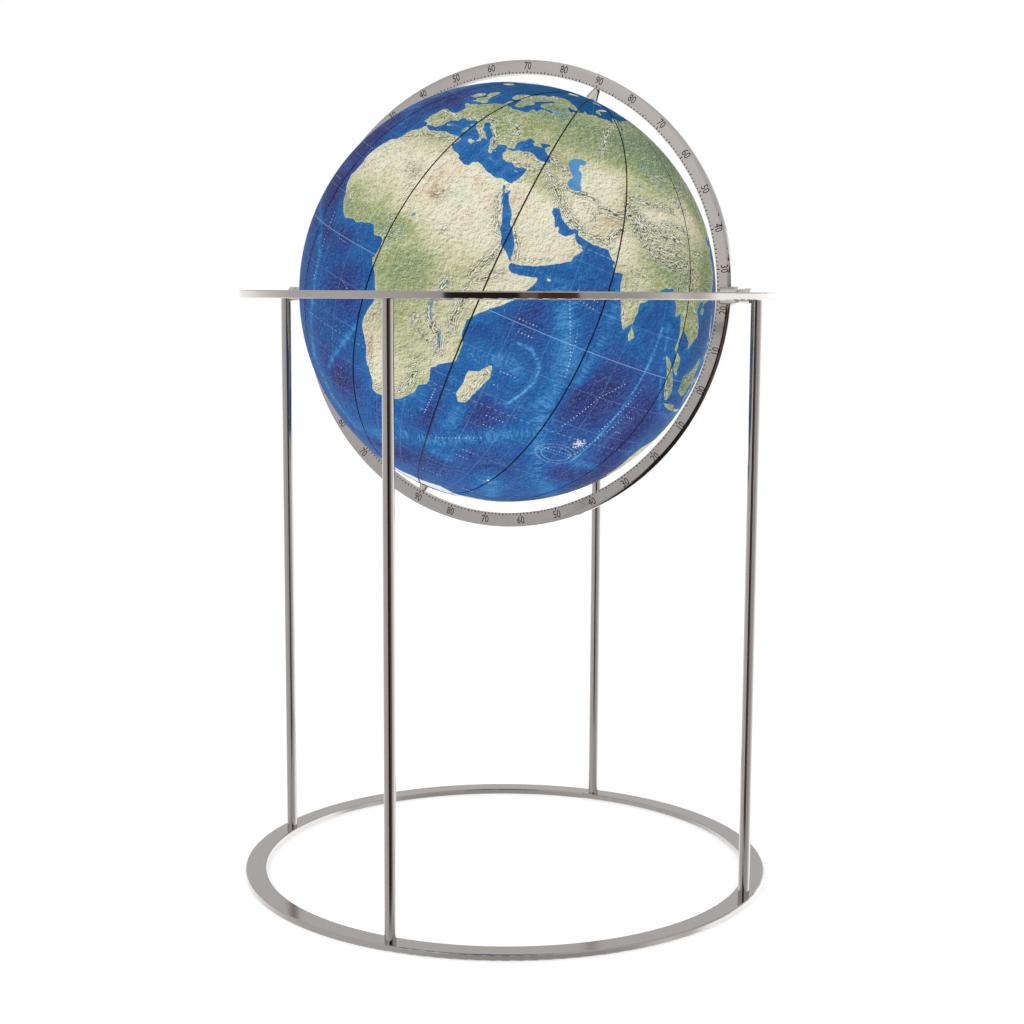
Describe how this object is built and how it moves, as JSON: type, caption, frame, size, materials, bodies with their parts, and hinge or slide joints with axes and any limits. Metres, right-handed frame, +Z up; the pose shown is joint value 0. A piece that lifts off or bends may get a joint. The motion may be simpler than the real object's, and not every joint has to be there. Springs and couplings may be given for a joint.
{
  "type": "globe on stand",
  "caption": "Floor-standing terrestrial globe: a map ball turns in a full meridian ring that swings inside a horizon ring on slim round legs over a flat base ring.",
  "frame": {"origin": "on the floor under the centre of the ball, bottom centre of the bounding box", "axes": "+Z up; +X along the meridian ring's swing axis; -Y is the side that faces the viewer"},
  "size_m": [0.517, 0.517, 0.7919],
  "materials": {
    "brushed_steel": "fine satin brushed stainless",
    "polished_steel": "polished stainless",
    "hardware_steel": "plain turned steel",
    "nylon": "natural nylon",
    "ball_acrylic": "moulded acrylic shell",
    "map_print": "varnished printed map paper",
    "felt": "dense felt"
  },
  "bodies": {
    "stand": {"base_ring": "brushed_steel", "felt_glides": "felt", "leg_front_right": "brushed_steel", "leg_back_right": "brushed_steel", "leg_back_left": "brushed_steel", "leg_front_left": "brushed_steel", "leg_base_screws": "hardware_steel", "leg_top_studs": "hardware_steel", "horizon_ring": "brushed_steel", "pivot_boss_right": "polished_steel", "pivot_boss_left": "polished_steel", "pivot_pin_right": "hardware_steel", "pivot_pin_left": "hardware_steel", "pivot_washer_right": "nylon", "pivot_washer_left": "nylon"},
    "meridian": {"meridian_ring": "brushed_steel", "pivot_barrel_right": "polished_steel", "pivot_barrel_left": "polished_steel", "pivot_bush_right": "nylon", "pivot_bush_left": "nylon", "barrel_set_screws": "hardware_steel", "pole_pin_north": "hardware_steel", "pole_pin_south": "hardware_steel", "pole_cone_north": "polished_steel", "pole_cone_south": "polished_steel", "cone_screw_north": "hardware_steel", "cone_screw_south": "hardware_steel"},
    "ball": {"ball_hub_north": "ball_acrylic", "ball_hub_south": "ball_acrylic", "ball_shell_north": "ball_acrylic", "ball_shell_south": "ball_acrylic", "map_gore_01": "map_print", "map_gore_02": "map_print", "map_gore_03": "map_print", "map_gore_04": "map_print", "map_gore_05": "map_print", "map_gore_06": "map_print", "map_gore_07": "map_print", "map_gore_08": "map_print", "map_gore_09": "map_print", "map_gore_10": "map_print", "map_gore_11": "map_print", "map_gore_12": "map_print", "pole_bush_north": "nylon", "pole_bush_south": "nylon", "shell_lap_band": "ball_acrylic", "south_polar_cap": "polished_steel"}
  },
  "joints": [
    {"name": "meridian_swing", "type": "hinge", "parent": "stand", "child": "meridian", "pos_m": [0, 0, 0.5684], "axis": [1, 0, 0], "continuous": true},
    {"name": "ball_spin", "type": "hinge", "parent": "meridian", "child": "ball", "pos_m": [0, 0, 0.5684], "axis": [0.3987, 0.0783, 0.9137], "continuous": true}
  ]
}
